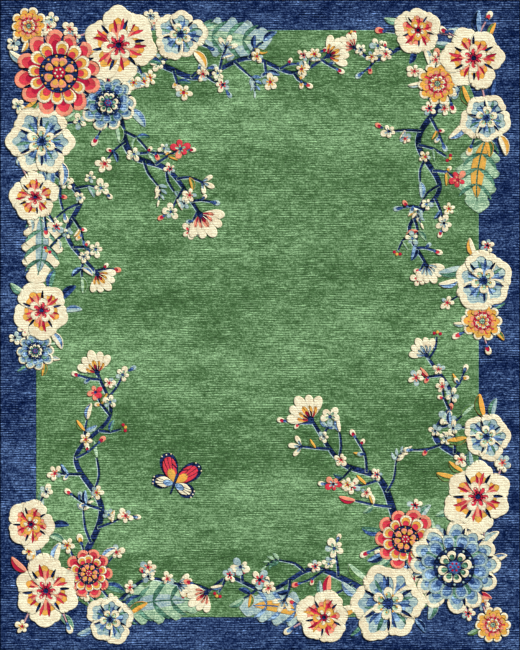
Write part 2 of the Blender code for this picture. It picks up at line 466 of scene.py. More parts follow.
def lay_fern(at, angle, size, tones):
    """A curved stem with narrow leaves in pairs, smaller towards its tip."""
    curl = chance.choice((-0.5, 0.5))
    points = [at + size * share * heading(angle + curl * share**2) for share in (0, 0.5, 1)]
    line, headings = lay_ribbon(points, 0.008, 0.006, "stem", 0.02)
    for share in (0.3, 0.55, 0.8):
        place = round(share * (len(line) - 1))
        for side in (-1, 1):
            length = size * (0.60 - 0.26 * share)
            outline = leaf_outline(0.24, 0.08 * side, 12)
            leaf = placed(outline, line[place], length, headings[place] + side * 0.75)
            lay(leaf, tones[side > 0], FINE_SLOPE)
    lay(placed(leaf_outline(0.20, 0, 12), line[-1], size * 0.42, headings[-1]), tones[0], FINE_SLOPE)


def lay_any_leaf(at, size, angle, bend=0.1):
    lay_leaf(at, size, angle, *chance.choice(LEAF_TONES), bend)


def lay_twig(at, angle, length, curl, kind):
    """A twig and what it bears, by letter. Leaves lie under flowers.

    f is a blossom with a bud beside it, F a blossom with a bud and a smaller blossom, p and P the same in
    coral, c a cup flower, b two buds, B three, r berries, l one leaf, L three, and s a fern.
    """
    middle = at + 0.5 * length * heading(angle)
    end = at + length * heading(angle + curl)
    _, headings = lay_ribbon([at, middle, end], TWIG_ROOT, TWIG_END, "stem", 0.03)
    way = headings[-1]
    if kind in "fpFPBcr":
        lay_any_leaf(middle, chance.uniform(0.050, 0.066), way + math.copysign(SIDE_LEAN, curl))
    if kind in "fp":
        lay_bud(middle, SIDE_BUD, angle - math.copysign(SIDE_LEAN, curl))
    if kind in "FP":
        lay_bud(end + 0.034 * heading(way - 0.6), END_BUD, way - 0.6)
        lay_blossom(middle + 0.040 * heading(way + 1.5), SIDE_BLOSSOM, chance.uniform(0, 6))
    if kind in "fFpP":
        tones = CORAL_PETALS if kind in "pP" else PALE_PETALS
        lay_blossom(end, chance.uniform(0.036, 0.046), chance.uniform(0, 6), tones)
    if kind == "c":
        lay_cup(end, TWIG_CUP, way, COOL_CUP, 3)
    if kind in "bB":
        lay_bud(middle, SIDE_BUD, way + 1.0)
        lay_bud(end, LARGE_BUD, way)
    if kind == "B":
        lay_bud(middle + 0.5 * (end - middle), THIRD_BUD, way - 1.1)
    if kind == "r":
        lay_berries(end, way)
    if kind in "lL":
        lay_any_leaf(end, END_LEAF, way)
    if kind == "L":
        lay_any_leaf(middle, SIDE_LEAF, way - SIDE_LEAN, -0.1)
        lay_any_leaf(middle, SIDE_LEAF, way + SIDE_LEAN)
    if kind == "s":
        lay_fern(end, way, FERN_LENGTH, chance.choice(FERN_TONES))


# A vine: its line, widths, twigs in order, their length, the first one's side, and its end flower
Vine = namedtuple("Vine", "line root_width end_width twigs twig_length first_side tones flower_size")
# The vines' lines, corner by corner
HEAD_VINE = [-0.56 + 1.27j, -0.42 + 1.20j, -0.28 + 1.16j, -0.05 + 1.25j, 0.16 + 1.18j, 0.32 + 1.26j]
UPPER_FIELD_VINE = [-0.66 + 0.98j, -0.60 + 0.80j, -0.42 + 0.72j, -0.28 + 0.52j]
UPPER_LEFT_VINE = [-0.98 + 0.74j, -0.84 + 0.60j, -0.90 + 0.42j, -0.76 + 0.24j]
UPPER_RIGHT_VINE = [0.86 + 1.05j, 0.74 + 0.86j, 0.84 + 0.64j, 0.70 + 0.46j, 0.78 + 0.28j]
SHORT_HEAD_VINE = [0.66 + 1.30j, 0.54 + 1.24j, 0.44 + 1.30j]
LOWER_LEFT_VINE = [-0.84 - 1.12j, -0.74 - 0.86j, -0.86 - 0.62j, -0.70 - 0.42j, -0.76 - 0.22j]
SHORT_FOOT_VINE = [-0.70 - 1.33j, -0.54 - 1.19j, -0.38 - 1.21j]
FOOT_VINE = [0.52 - 1.26j, 0.40 - 1.19j, 0.24 - 1.14j, 0.04 - 1.24j, -0.14 - 1.18j, -0.25 - 1.25j]
LOWER_FIELD_VINE = [0.64 - 0.92j, 0.56 - 0.72j, 0.38 - 0.64j, 0.24 - 0.44j]
LOWER_RIGHT_VINE = [0.98 - 0.64j, 0.82 - 0.52j, 0.90 - 0.34j, 0.78 - 0.14j]
VINES = [
    Vine(HEAD_VINE, 0.028, 0.012, "lfBFcsLfbBFb", 0.10, 1, WARM_CUP, 0.11),
    Vine(UPPER_FIELD_VINE, 0.034, 0.013, "LfBsPlcFbf", 0.13, 1, PINK_CUP, 0.13),
    Vine(UPPER_LEFT_VINE, 0.030, 0.012, "bFlBrfLb", 0.12, -1, WARM_CUP, 0.10),
    Vine(UPPER_RIGHT_VINE, 0.030, 0.012, "BFrlpsFBLrbf", 0.12, 1, COOL_CUP, 0.095),
    Vine(SHORT_HEAD_VINE, 0.018, 0.010, "fbr", 0.07, -1, PINK_CUP, 0.08),
    Vine(LOWER_LEFT_VINE, 0.032, 0.012, "sFBlfbLrpFb", 0.13, 1, WARM_CUP, 0.11),
    Vine(SHORT_FOOT_VINE, 0.018, 0.010, "bfr", 0.07, -1, COOL_CUP, 0.075),
    Vine(FOOT_VINE, 0.028, 0.012, "lFbscfLfrb", 0.10, 1, PINK_CUP, 0.105),
    Vine(LOWER_FIELD_VINE, 0.036, 0.013, "LsFBPlcfb", 0.14, 1, WARM_CUP, 0.13),
    Vine(LOWER_RIGHT_VINE, 0.030, 0.012, "FbLfBfr", 0.12, -1, COOL_CUP, 0.095),
]

# A plume, a large lobed leaf: its start, heading, length, width and bend as shares of that, and yarns
Plume = namedtuple("Plume", "x y degrees length width bend tones")
LOBES = 5
LOBE_DEPTH = 0.42
PLUMES = [
    Plume(-0.30, 1.37, 355, 0.36, 0.34, -0.05, ("mist", "sage", "teal")),
    Plume(-1.03, 0.52, 266, 0.34, 0.34, 0.07, ("cream", "mist", "teal")),
    Plume(1.06, 0.88, 264, 0.36, 0.34, -0.07, ("sage", "gold", "teal")),
    Plume(-0.66, -1.34, 6, 0.40, 0.32, 0.08, ("sage", "mist", "teal")),
    Plume(0.24, -1.36, 173, 0.34, 0.32, -0.08, ("mist", "gold", "denim")),
]

# Blooms stand where the frame's raised blooms are. Later ones lie over earlier ones
Bloom = namedtuple("Bloom", "x y radius petals turn yarns")
BLOOMS = [
    Bloom(-0.37, 1.36, 0.125, 5, 10, COOL_ROSE),
    Bloom(-1.05, 0.60, 0.120, 5, 25, PALE_ROSE),
    Bloom(-1.08, 1.40, 0.085, 10, 0, GOLD_DAHLIA),
    Bloom(-0.66, 1.31, 0.185, 6, 40, PALE_ROSE),
    Bloom(-1.02, 0.86, 0.170, 6, 0, COOL_ROSE),
    Bloom(-0.71, 1.04, 0.135, 10, 0, BLUE_DAHLIA),
    Bloom(-0.94, 1.18, 0.205, 12, 8, CORAL_DAHLIA),
    Bloom(0.74, 1.38, 0.115, 5, 20, WARM_ROSE),
    Bloom(1.06, 0.97, 0.125, 5, 60, COOL_ROSE),
    Bloom(0.83, 1.13, 0.100, 10, 5, GOLD_DAHLIA),
    Bloom(1.00, 1.25, 0.155, 6, 0, PALE_ROSE),
    Bloom(-1.05, -0.12, 0.090, 10, 0, BLUE_DAHLIA),
    Bloom(-1.02, 0.07, 0.140, 5, 50, PALE_ROSE),
    Bloom(1.04, 0.02, 0.095, 10, 0, GOLD_DAHLIA),
    Bloom(1.045, 0.21, 0.150, 5, 20, COOL_ROSE),
    Bloom(-0.70, -1.375, 0.120, 5, 15, COOL_ROSE),
    Bloom(-1.07, -0.93, 0.125, 5, 0, WARM_ROSE),
    Bloom(-0.80, -1.16, 0.115, 10, 0, CORAL_DAHLIA),
    Bloom(-1.00, -1.24, 0.165, 6, 35, PALE_ROSE),
    Bloom(0.30, -1.365, 0.130, 5, 10, WARM_ROSE),
    Bloom(1.09, -1.40, 0.085, 10, 0, GOLD_DAHLIA),
    Bloom(1.06, -0.52, 0.120, 5, 0, COOL_ROSE),
    Bloom(0.60, -1.30, 0.190, 6, 60, COOL_ROSE),
    Bloom(1.02, -0.80, 0.175, 6, 30, PALE_ROSE),
    Bloom(0.68, -1.00, 0.145, 10, 0, CORAL_DAHLIA),
    Bloom(0.91, -1.13, 0.215, 12, 0, BLUE_DAHLIA),
]

# A butterfly's wings: their heading from the body, length, width, yarns and frills
Wing = namedtuple("Wing", "lean length width zones frills")
WINGS = [
    Wing(0.62, 1.00, 0.34, [(1, "ink"), (0.86, "coral"), (0.50, "gold")], 0),
    Wing(1.75, 0.72, 0.40, [(1, "ink"), (0.84, "cream"), (0.50, "denim")], 3),
]
BUTTERFLY_PLACE = -0.40 - 0.74j
BUTTERFLY_SIZE = 0.15
BUTTERFLY_HEADING = math.radians(70)


def lay_vine(vine):
    line, headings = lay_ribbon(vine.line, vine.root_width, vine.end_width, "stem")
    travelled = np.concatenate([[0], np.cumsum(np.abs(np.diff(line)))])
    first, last = 0.10, 0.96
    side = vine.first_side
    for order, kind in enumerate(vine.twigs):
        share = first + (last - first) * order / (len(vine.twigs) - 1)
        place = min(int(np.searchsorted(travelled, share * travelled[-1])), len(line) - 1)
        angle = headings[place] + side * chance.uniform(0.85, 1.20)
        length = vine.twig_length * (1.25 - 0.50 * share) * chance.uniform(0.8, 1.2)
        lay_twig(line[place], angle, length, -side * chance.uniform(0.02, 0.26), kind)
        side = -side
    for share in (0.35, 0.62, 0.84):
        place = int(share * len(line))
        lay_blossom(line[place] + 0.012j, chance.uniform(0.028, 0.036), chance.uniform(0, 6))
    lay_cup(line[-1], vine.flower_size, headings[-1], vine.tones)


def bent(outline, bend):
    """The outline, given along +X from 0 to 1, bent to one side."""
    return outline + 4j * bend * outline.real * (1 - outline.real)


def lay_plume(plume):
    """A bent leaf with lobed edges, an inner leaf, a midrib and a vein to each lobe."""
    at, angle = complex(plume.x, plume.y), math.radians(plume.degrees)
    blade, leaf, veins = plume.tones

    def on_plume(outline):
        return placed(bent(outline, plume.bend), at, plume.length, angle)

    outline = leaf_outline(plume.width, 0, 60)
    lobed = 1 - LOBE_DEPTH * (1 - np.abs(np.sin(LOBES * math.pi * outline.real**0.9)))
    outline = outline.real + 1j * outline.imag * lobed
    lay(on_plume(outline), blade)
    lay(on_plume(0.06 + 0.74 * leaf_outline(plume.width * 0.42, 0, 22)), leaf, FINE_SLOPE)
    lay_ribbon(list(on_plume(np.linspace(0, 0.84, 6) + 0j)), 0.009, 0.006, veins, 0.04)
    for lobe in range(1, LOBES):
        share = ((lobe - 0.75) / LOBES) ** (1 / 0.9)
        root = on_plume(np.array(share + 0j))
        for side in (-1, 1):
            size = plume.length * plume.width * (0.95 - 0.5 * abs(share - 0.4))
            vein = leaf_outline(0.12, 0.10 * side, 10)
            lay(placed(vein, root, size, angle + side * 0.85), veins, FINE_SLOPE)


# Round a bloom: buds, blossoms, the clearance from the rug's rim, and large and small blooms by radius
BLOOM_BUD = 0.052
BLOOM_BLOSSOM = 0.036
CLEAR_OF_RIM = 0.04
LARGE_BLOOM = 0.14
SMALL_BLOOM = 0.1


def lay_bloom_leaves(bloom):
    """Leaves, buds and blossoms that show between a bloom and its neighbours."""
    at = complex(bloom.x, bloom.y)
    count = 11 if bloom.radius > LARGE_BLOOM else 8
    for angle in turn_steps(count, np.angle(at)):
        angle += chance.gauss(0, 0.25)
        size = chance.uniform(0.060, 0.105) + 0.10 * bloom.radius if bloom.radius > SMALL_BLOOM else 0.065
        root = at + 0.76 * bloom.radius * heading(angle)
        lean = chance.gauss(0, 0.35)
        tones = chance.choice(LEAF_TONES)
        tip = root + size * heading(angle + lean)
        if abs(tip.real) > RUG_HIGH.x - CLEAR_OF_RIM or abs(tip.imag) > RUG_HIGH.y - CLEAR_OF_RIM:
            continue
        kind = chance.choice("llllbff")
        if kind == "l":
            lay_leaf(root, size, angle + lean, *tones)
            continue
        start = at + 0.6 * bloom.radius * heading(angle)
        end = tip - 0.4 * size * heading(angle + lean)
        _, headings = lay_ribbon([start, root, end], 0.011, TWIG_END, "stem", 0.03)
        if kind == "f":
            lay_blossom(tip - 0.3 * size * heading(angle + lean), BLOOM_BLOSSOM, angle)
        else:
            lay_bud(end, BLOOM_BUD, headings[-1])


def lay_butterfly(at, size, angle):
    for side in (1, -1):
        for wing in WINGS:
            way = angle + side * wing.lean
            reach = size * wing.length
            lay_zones(at, way, reach, wing.width, wing.zones, wing.frills, base=0.7)
            for lean in (-0.16, 0, 0.16):
                vein = [at + share * reach * heading(way + lean) for share in (0.45, 0.85)]
                lay_ribbon(vein, 0.003, 0.003, "ink")
                lay_disc(at + 0.93 * reach * heading(way + lean), 0.0045, "cream", 7)
        feeler = [0.30, 0.48 * heading(side * 0.2), 0.62 * heading(side * 0.45)]
        lay_ribbon([at + size * heading(angle) * point for point in feeler], size * 0.04, size * 0.03, "ink")
    tail, head = at - 0.35 * size * heading(angle), at + 0.32 * size * heading(angle)
    lay_ribbon([tail, head], size * 0.06, size * 0.10, "ink")


def lay_design():
    for plume in PLUMES:
        lay_plume(plume)
    for vine in VINES:
        lay_vine(vine)
    for bloom in BLOOMS:
        lay_bloom_leaves(bloom)
    for bloom in BLOOMS:
        lay_flower = lay_dahlia if isinstance(bloom.yarns, Dahlia) else lay_rose
        at, turn = complex(bloom.x, bloom.y), math.radians(bloom.turn)
        lay_flower(at, bloom.radius, bloom.yarns, turn, bloom.petals)
    lay_butterfly(BUTTERFLY_PLACE, BUTTERFLY_SIZE, BUTTERFLY_HEADING)


def field_outline():
    """The green field's rounded rectangle."""
    right, head = WHOLE_HIGH.x - BORDER_RIGHT - FIELD_CORNER, WHOLE_HIGH.y - BORDER_HEAD - FIELD_CORNER
    left, foot = WHOLE_LOW.x + BORDER_LEFT + FIELD_CORNER, WHOLE_LOW.y + BORDER_FOOT + FIELD_CORNER
    outline = []
    centres = (complex(right, head), complex(left, head), complex(left, foot), complex(right, foot))
    for quarter, centre in enumerate(centres):
        angles = np.linspace(0, math.pi / 2, 24) + quarter * math.pi / 2
        outline.append(centre + FIELD_CORNER * np.exp(1j * angles))
    return divided(np.concatenate(outline))


def rectangle(inset):
    """The tufted body's outline, moved inwards, counter-clockwise."""
    x, y = RUG_HIGH.x - inset, RUG_HIGH.y - inset
    return np.array([complex(-x, -y), complex(x, -y), complex(x, y), complex(-x, y)])


def depths(points, outline):
    """How far each point lies inside the outline, negative outside it."""
    if len(points) > MOST_AT_ONCE:
        half = len(points) // 2
        return np.concatenate([depths(points[:half], outline), depths(points[half:], outline)])
    start = outline
    along = np.roll(outline, -1) - start
    away = points[:, None] - start[None, :]
    share = np.clip((away * along.conj()).real / np.abs(along) ** 2, 0, 1)
    distance = np.abs(away - share * along).min(axis=1)
    above_start = away.imag >= 0
    above_end = np.roll(above_start, -1, axis=1)
    left_of = (along.conj() * away).imag > 0
    crossed = (above_start & ~above_end & ~left_of) | (~above_start & above_end & left_of)
    inside = crossed.sum(axis=1) % 2 == 1
    return np.where(inside, distance, -distance)


def near(points, outline):
    """Which points lie in the outline's box."""
    across = (points.real > outline.real.min()) & (points.real < outline.real.max())
    along = (points.imag > outline.imag.min()) & (points.imag < outline.imag.max())
    return np.flatnonzero(across & along)


def inset_points(area):
    """Points where the carved slope inside an outline ends, or half of it in a narrow place."""
    outline = area.outline
    ahead = np.roll(outline, -1) - np.roll(outline, 1)
    turned_left = (outline.conj() * np.roll(outline, -1)).imag.sum() > 0
    inwards = ahead / np.abs(ahead) * (1j if turned_left else -1j)
    full = outline + inwards * area.slope
    half = outline + inwards * area.slope * 0.5
    full_fits = depths(full, outline) > area.slope * 0.8
    half_fits = depths(half, outline) > area.slope * 0.4
    return np.concatenate([full[full_fits], half[half_fits & ~full_fits]])


def ground_points(taken):
    """A loose grid over the bare ground, clear of the points already taken."""
    x = np.arange(RUG_LOW.x + GROUND_STEP, RUG_HIGH.x - GROUND_STEP / 2, GROUND_STEP)
    y = np.arange(RUG_LOW.y + GROUND_STEP, RUG_HIGH.y - GROUND_STEP / 2, GROUND_STEP)
    grid = (x[:, None] + 1j * y[None, :]).ravel()

    def cell(point):
        return round(point.real / GROUND_STEP), round(point.imag / GROUND_STEP)

    taken_cells = {cell(point) for point in taken}
    return [point for point in grid if cell(point) not in taken_cells]


def pile_plan(field):
    """The pile seen from above, as flat triangles whose edges follow every outline that shows."""
    areas = [Area(field, "green", FIELD_SLOPE, 0, 0), *design]
    outlines = [rectangle(RIM_ROUND)] + [area.outline for area in areas]
    insets = [np.zeros(0)] + [inset_points(area) for area in areas]
    points = np.concatenate([np.concatenate(outlines), np.concatenate(insets)])
    owners = [np.full(len(line), order) for lines in (outlines, insets) for order, line in enumerate(lines)]
    owner = np.concatenate(owners)
    hidden = np.zeros(len(points), bool)
    for order, outline in enumerate(outlines[1:], 1):
        found = near(points, outline)
        found = found[(owner[found] < order) & (owner[found] > 0) & ~hidden[found]]
        hidden[found] = depths(points[found], outline) > HIDDEN_DEPTH
    edges, first = [], 0
    for outline in outlines:
        following = np.roll(np.arange(len(outline)), -1)
        pairs = [(first + a, first + b) for a, b in enumerate(following)]
        edges += [(a, b) for a, b in pairs if not (hidden[a] and hidden[b])]
        first += len(outline)
    used = ~hidden
    used[[index for edge in edges for index in edge]] = True
    place = np.cumsum(used) - 1
    edges = [(int(place[a]), int(place[b])) for a, b in edges]
    kept = list(points[used])
    kept += ground_points(kept)
    plan = delaunay_2d_cdt([Vector((p.real, p.imag)) for p in kept], edges, [], 0, SMALLEST_STEP)
    return np.array([complex(*p) for p in plan[0]]), np.array(plan[2])


def pile_heights(points, field):
    """How high the pile stands over the border's at each point, every area carved over the last."""
    in_field = depths(points, field)
    heights = FIELD_RISE * np.clip(in_field / FIELD_SLOPE, 0, 1)
    for area in design:
        found = near(points, area.outline)
        share = np.clip(depths(points[found], area.outline) / area.slope, 0, 1)
        if area.yarn in CROSSINGS:
            crossing = CROSSINGS[area.yarn]
            rise = np.where(in_field[found] > 0, crossing.field_rise, crossing.border_rise)
        else:
            rise = YARNS[area.yarn].rise + area.lift
        heights[found] += (rise - heights[found]) * share
    return heights


def pile_owners(points, field):
    """The area each point lies in: its place in the design, or -1 in the bare field and -2 on the border."""
    owners = np.where(depths(points, field) > 0, -1, -2)
    for order, area in enumerate(design):
        found = near(points, area.outline)
        owners[found[depths(points[found], area.outline) > 0]] = order
    return owners


def pile_yarns(points, owners, field):
    """The yarn at each point, as its place in YARNS."""
    order = list(YARNS)
    in_field = depths(points, field) > 0
    yarns = np.where(in_field, order.index("green"), order.index("navy"))
    for place, area in enumerate(design):
        owned = owners == place
        if area.yarn in CROSSINGS:
            crossing = CROSSINGS[area.yarn]
            names = order.index(crossing.field_yarn), order.index(crossing.border_yarn)
            yarns[owned] = np.where(in_field[owned], *names)
        else:
            yarns[owned] = order.index(area.yarn)
    return yarns


def painted_cut_shade_shares(plan, triangles, owners):
    """Painted shade in the carved slope: how near each corner of a face is to the cut round its own area, 1
    at the cut, 0 past its slope.
    """
    shares = np.zeros(triangles.shape)
    for order, area in enumerate(design):
        owned = np.flatnonzero(owners == order)
        if len(owned) and area.yarn not in CROSSINGS:
            corners = plan[triangles[owned]]
            inside = depths(corners.ravel(), area.outline).reshape(corners.shape)
            shares[owned] = 1 - np.clip(inside / area.slope, 0, 1)
    return shares


def make_pile():
    """The tufted body as one closed mesh: carved pile, rounded rim and woven backing."""
    field = field_outline()
    plan, triangles = pile_plan(field)
    heights = BORDER_PILE + pile_heights(plan, field)
    middles = plan[triangles].mean(axis=1)
    owners = pile_owners(middles, field)
    yarns = pile_yarns(middles, owners, field)
    shades = np.array([area.shade for area in design] + [0, 0])[owners]
    cut_shade_shares = painted_cut_shade_shares(plan, triangles, owners)
    verts = [(p.real, p.imag, height) for p, height in zip(plan, heights)]
    faces = [tuple(int(index) for index in triangle) for triangle in triangles]
    slots = list(yarns)
    upper = [int(np.abs(plan - corner).argmin()) for corner in rectangle(RIM_ROUND)]
    navy, backing = list(YARNS).index("navy"), len(YARNS)
    rim = [(RIM_ROUND * 0.3, BORDER_PILE - RIM_ROUND * 0.3), (0, BORDER_PILE - RIM_ROUND), (0, 0)]
    for inset, height in rim:
        lower = range(len(verts), len(verts) + 4)
        verts += [(p.real, p.imag, height) for p in rectangle(inset)]
        for side in range(4):
            following = (side + 1) % 4
            faces.append((upper[side], lower[side], lower[following], upper[following]))
        upper = list(lower)
        slots += [navy] * 4
    faces.append(tuple(reversed(upper)))
    slots.append(backing)
    mesh = bpy.data.meshes.new("carved_pile")
    mesh.from_pydata(verts, [], faces)
    for name in YARNS:
        mesh.materials.append(pile_material(name))
    mesh.materials.append(backing_material())
    mesh.polygons.foreach_set("material_index", np.array(slots, np.int32))
    shade = mesh.attributes.new("dye_shade", "FLOAT", "FACE")
    shade.data.foreach_set("value", np.append(shades, np.zeros(len(faces) - len(shades))).astype(np.float32))
    # Painted shade at the cuts, kept for each corner of a face
    cut = mesh.attributes.new("cut_painted_shade", "FLOAT", "CORNER")
    # The two lower rows of the rim's faces get painted shade, as dark as at a cut
    rim_painted_shade = np.repeat([0, 1, 1, 0], [16, 16, 16, 4])
    cut.data.foreach_set("value", np.append(cut_shade_shares, rim_painted_shade).astype(np.float32))
    pile = add_piece("carved_pile", mesh, "tufted_rug", 12)
    print("pile:", len(design), "areas,", len(verts), "points,", len(mesh.polygons), "faces")
    return pile


def new_object(name, data):
    made = bpy.data.objects.new(name, data)
    bpy.context.scene.collection.objects.link(made)
    return made


def add_piece(name, mesh, node, sharp_degrees):
    """A piece of the part, smooth but for the edges where its faces turn by more than the angle."""
    mesh.update()
    mesh.shade_smooth()
    mesh.set_sharp_from_angle(angle=math.radians(sharp_degrees))
    piece = new_object(name, mesh)
    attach(piece, "root")
    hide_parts(node)
    return piece


# The overcast edge: the spacing of its wraps and how they stand out and wander
WRAP_PITCH = 0.0030
WRAP_RISE = 0.0005
WRAP_WANDER = 0.00025
WRAP_SLANT = 0.0015
EDGE_SIDES = 10
MITRE_SPAN = 0.04
SEAM_GAP = 0.0003


def make_edge(name, turn, yarn):
    """One side's overcast edge: a half-round core whose surface swells at every wrap of yarn."""
    low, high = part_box(name)
    size = high - low
    length, width = max(size.x, size.y), min(size.x, size.y)
    away = abs((low + high).x / 2 if size.x < size.y else (low + high).y / 2) + width / 2
    half, shoulder = width / 2, size.z - width / 2
    wraps = round(length / WRAP_PITCH)
    stations = np.linspace(-1, 1, wraps * 2 + 1) * (length / 2)
    verts, faces = [], []
    for order, station in enumerate(stations):
        swell = (WRAP_RISE if order % 2 else 0) - WRAP_RISE + chance.uniform(-1, 0) * WRAP_WANDER
        mitre = max(0, (abs(station) - length / 2 + MITRE_SPAN) / MITRE_SPAN)
        for side in range(EDGE_SIDES):
            share = side / (EDGE_SIDES - 1)
            angle = math.pi * (1 - share)
            inwards = half + (half + swell) * math.cos(angle)
            height = shoulder + (half + swell) * math.sin(angle)
            if side in (0, EDGE_SIDES - 1):
                height = 0
            slant = WRAP_SLANT * (share - 0.5) * (1 - mitre)
            along = station + slant - math.copysign((inwards + SEAM_GAP) * mitre, station)
            verts.append(complex(along, inwards - away) * heading(turn))
            verts[-1] = (verts[-1].real, verts[-1].imag, height)
    for order in range(len(stations) - 1):
        for side in range(EDGE_SIDES):
            a = order * EDGE_SIDES + side
            b = order * EDGE_SIDES + (side + 1) % EDGE_SIDES
            faces.append((a, a + EDGE_SIDES, b + EDGE_SIDES, b))
    faces.append(tuple(range(EDGE_SIDES)))
    faces.append(tuple(reversed(range(len(verts) - EDGE_SIDES, len(verts)))))
    mesh = bpy.data.meshes.new("overcast_" + name)
    mesh.from_pydata(verts, [], faces)
    mesh.materials.append(yarn)
    return add_piece("overcast_" + name, mesh, name, 70)


def linear(tone):
    """A colour given as 8-bit sRGB, as linear light with alpha."""
    values = [channel / 255 for channel in tone]
    return (*[v / 12.92 if v <= 0.04045 else ((v + 0.055) / 1.055) ** 2.4 for v in values], 1)


class Nodes:
    """Builds one material's node tree, a node at a time."""

    def __init__(self, name):
        self.material = bpy.data.materials.new(name)
        self.material.use_nodes = True
        self.tree = self.material.node_tree
        self.shader = self.tree.nodes["Principled BSDF"]

    def add(self, kind, inputs=(), **settings):
        node = self.tree.nodes.new("ShaderNode" + kind)
        for key, value in settings.items():
            setattr(node, key, value)
        for key, value in dict(inputs).items():
            self.set(node.inputs[key], value)
        return node

    def set(self, socket, value):
        if isinstance(value, bpy.types.NodeSocket):
            self.tree.links.new(value, socket)
        else:
            socket.default_value = value

    def place(self):
        """A point's place in the rug."""
        return self.add("TexCoord").outputs["Object"]

    def coordinate(self, axis):
        """A point's distance from the rug's middle along one axis, in metres."""
        return self.add("SeparateXYZ", {"Vector": self.place()}).outputs[axis]

    def attribute(self, name):
        return self.add("Attribute", attribute_name=name).outputs["Fac"]

    def cells(self, scale, shift=(0, 0, 0)):
        """A point's place counted in cells, so many a metre along each axis."""
        mapping = self.add("Mapping", {"Vector": self.place(), "Scale": scale, "Location": shift})
        return mapping.outputs["Vector"]

    def noise(self, place, detail):
        return self.add("TexNoise", {"Vector": place, "Scale": 1.0, "Detail": detail}).outputs["Fac"]

    def stretched_noise(self, per_x, per_y, detail=1.0, seed=0.0):
        """Noise with so many cells a metre along X and along Y, from 0 to 1. The seed shifts it."""
        return self.noise(self.cells((per_x, per_y, 40.0), (seed, seed * 1.7, 0)), detail)

    def row_place(self, spacing):
        """How many rows of this spacing lie below a point. The rows wander a little."""
        wander = self.math("MULTIPLY", self.stretched_noise(3, 5, 1.0, 9.0), ROW_WANDER)
        return self.math("DIVIDE", self.math("ADD", self.coordinate("Y"), wander), spacing)

    def row_noise(self, per_x, seed):
        """Noise along each row of tufts, with so many cells a metre, and no likeness to the next row's."""
        row = self.math("FLOOR", self.row_place(ROW_PITCH), 0)
        along = self.math("MULTIPLY", self.coordinate("X"), per_x)
        vector = self.add("CombineXYZ", {"X": along, "Y": self.math("MULTIPLY", row, 7.31), "Z": seed})
        return self.noise(vector.outputs["Vector"], 0.0)

    def row_waves(self):
        """Pairs of rows, one light and one dark, that come and go along the rug, about 0."""
        wave = self.math("SINE", self.math("MULTIPLY", self.row_place(PAIR_PITCH), 2 * math.pi), 0)
        return self.math("MULTIPLY", wave, self.spread(self.stretched_noise(16, 30, 1.0, 13.0), 0.35, 0.70))

    def dye_bands(self):
        """The field's bands of lighter and darker dye, about 0. Their edges stray."""
        stray = self.spread(self.stretched_noise(2.5, 3, 2.0, 17.0), 0, 1, -BAND_STRAY, BAND_STRAY)
        share = self.spread(self.math("ADD", self.coordinate("Y"), stray), RUG_LOW.y, RUG_HIGH.y)
        ramp = self.add("ValToRGB", {"Fac": share})
        ramp.color_ramp.interpolation = "EASE"
        for y, light in DYE_BANDS:
            stop = ramp.color_ramp.elements.new((y - RUG_LOW.y) / (RUG_HIGH.y - RUG_LOW.y))
            stop.color = (0.5 + light, 0.5 + light, 0.5 + light, 1)
        for end in (0, -1):
            ramp.color_ramp.elements[end].color = (0.5, 0.5, 0.5, 1)
        return self.math("SUBTRACT", ramp.outputs["Color"], 0.5)

    def math(self, operation, first, second):
        node = self.add("Math", operation=operation)
        self.set(node.inputs[0], first)
        self.set(node.inputs[1], second)
        return node.outputs[0]

    def spread(self, value, low, high, to_low=0.0, to_high=1.0):
        ranges = {"From Min": low, "From Max": high, "To Min": to_low, "To Max": to_high}
        return self.add("MapRange", {"Value": value, **ranges}).outputs["Result"]

    def mix(self, share, first, second, blend="MIX"):
        node = self.add("Mix", data_type="RGBA", blend_type=blend)
        self.set(node.inputs["Factor"], share)
        self.set(node.inputs["A"], first)
        self.set(node.inputs["B"], second)
        return node.outputs["Result"]

    def finished(self, colour, relief, depth, roughness, gloss=0.5):
        """The material, with this colour, relief as a bump of this depth in metres, roughness and gloss."""
        bump = self.add("Bump", {"Height": relief, "Strength": 0.5, "Distance": depth})
        self.set(self.shader.inputs["Base Color"], colour)
        self.set(self.shader.inputs["Normal"], bump.outputs["Normal"])
        self.shader.inputs["Roughness"].default_value = roughness
        self.shader.inputs["Specular IOR Level"].default_value = gloss
        return self.material


# The rows of tufts: their spacing, the spacing of the pairs that show, and how far a row strays
ROW_PITCH = 0.0046
PAIR_PITCH = 0.0110
ROW_WANDER = 0.02
# Tufts a metre along a row, across the rows and upwards
TUFTS = (250, 200, 60)

# The field's bands of dye: how far their edges stray, and their places along Y and how light they are
BAND_STRAY = 0.3
DYE_BANDS = [
    (-1.12, -0.08),
    (-0.92, 0.16),
    (-0.58, -0.12),
    (-0.34, 0.02),
    (-0.08, 0.12),
    (0.17, -0.10),
    (0.42, 0.06),
    (0.68, -0.08),
    (0.92, 0.16),
    (1.20, -0.10),
]

# A yarn's streaks: their contrast, then the shares of streaks along a row, paired rows, patches and bands
Streaks = namedtuple("Streaks", "contrast short middle long pairs patch band abrash")
FLOWER_STREAKS = Streaks(2.2, 1.0, 0.8, 0.3, 0.34, 0.5, 0.3, 0.0)
BLENDED_STREAKS = Streaks(3.0, 1.0, 0.9, 0.4, 0.34, 0.7, 0.3, 0.0)
STREAKS = {
    "green": Streaks(4.2, 1.0, 0.8, 0.4, 0.34, 0.40, 0.45, 0.40),
    "navy": Streaks(17.0, 0.9, 0.7, 0.3, 0.34, 0.30, 0.35, 0.35),
    "cream": Streaks(1.30, 1.0, 0.8, 0.3, 0.55, 0.4, 0.3, 0.0),
    "denim": BLENDED_STREAKS,
    "deep": BLENDED_STREAKS,
    "ink": BLENDED_STREAKS,
    "teal": BLENDED_STREAKS,
    "mist": FLOWER_STREAKS._replace(contrast=1.7),
}
# How much an area's own shade of dye shows, and how much painted shade darkens the pile at a cut
DYE_SHADE = 0.10
CUT_PAINTED_SHADE = 0.6


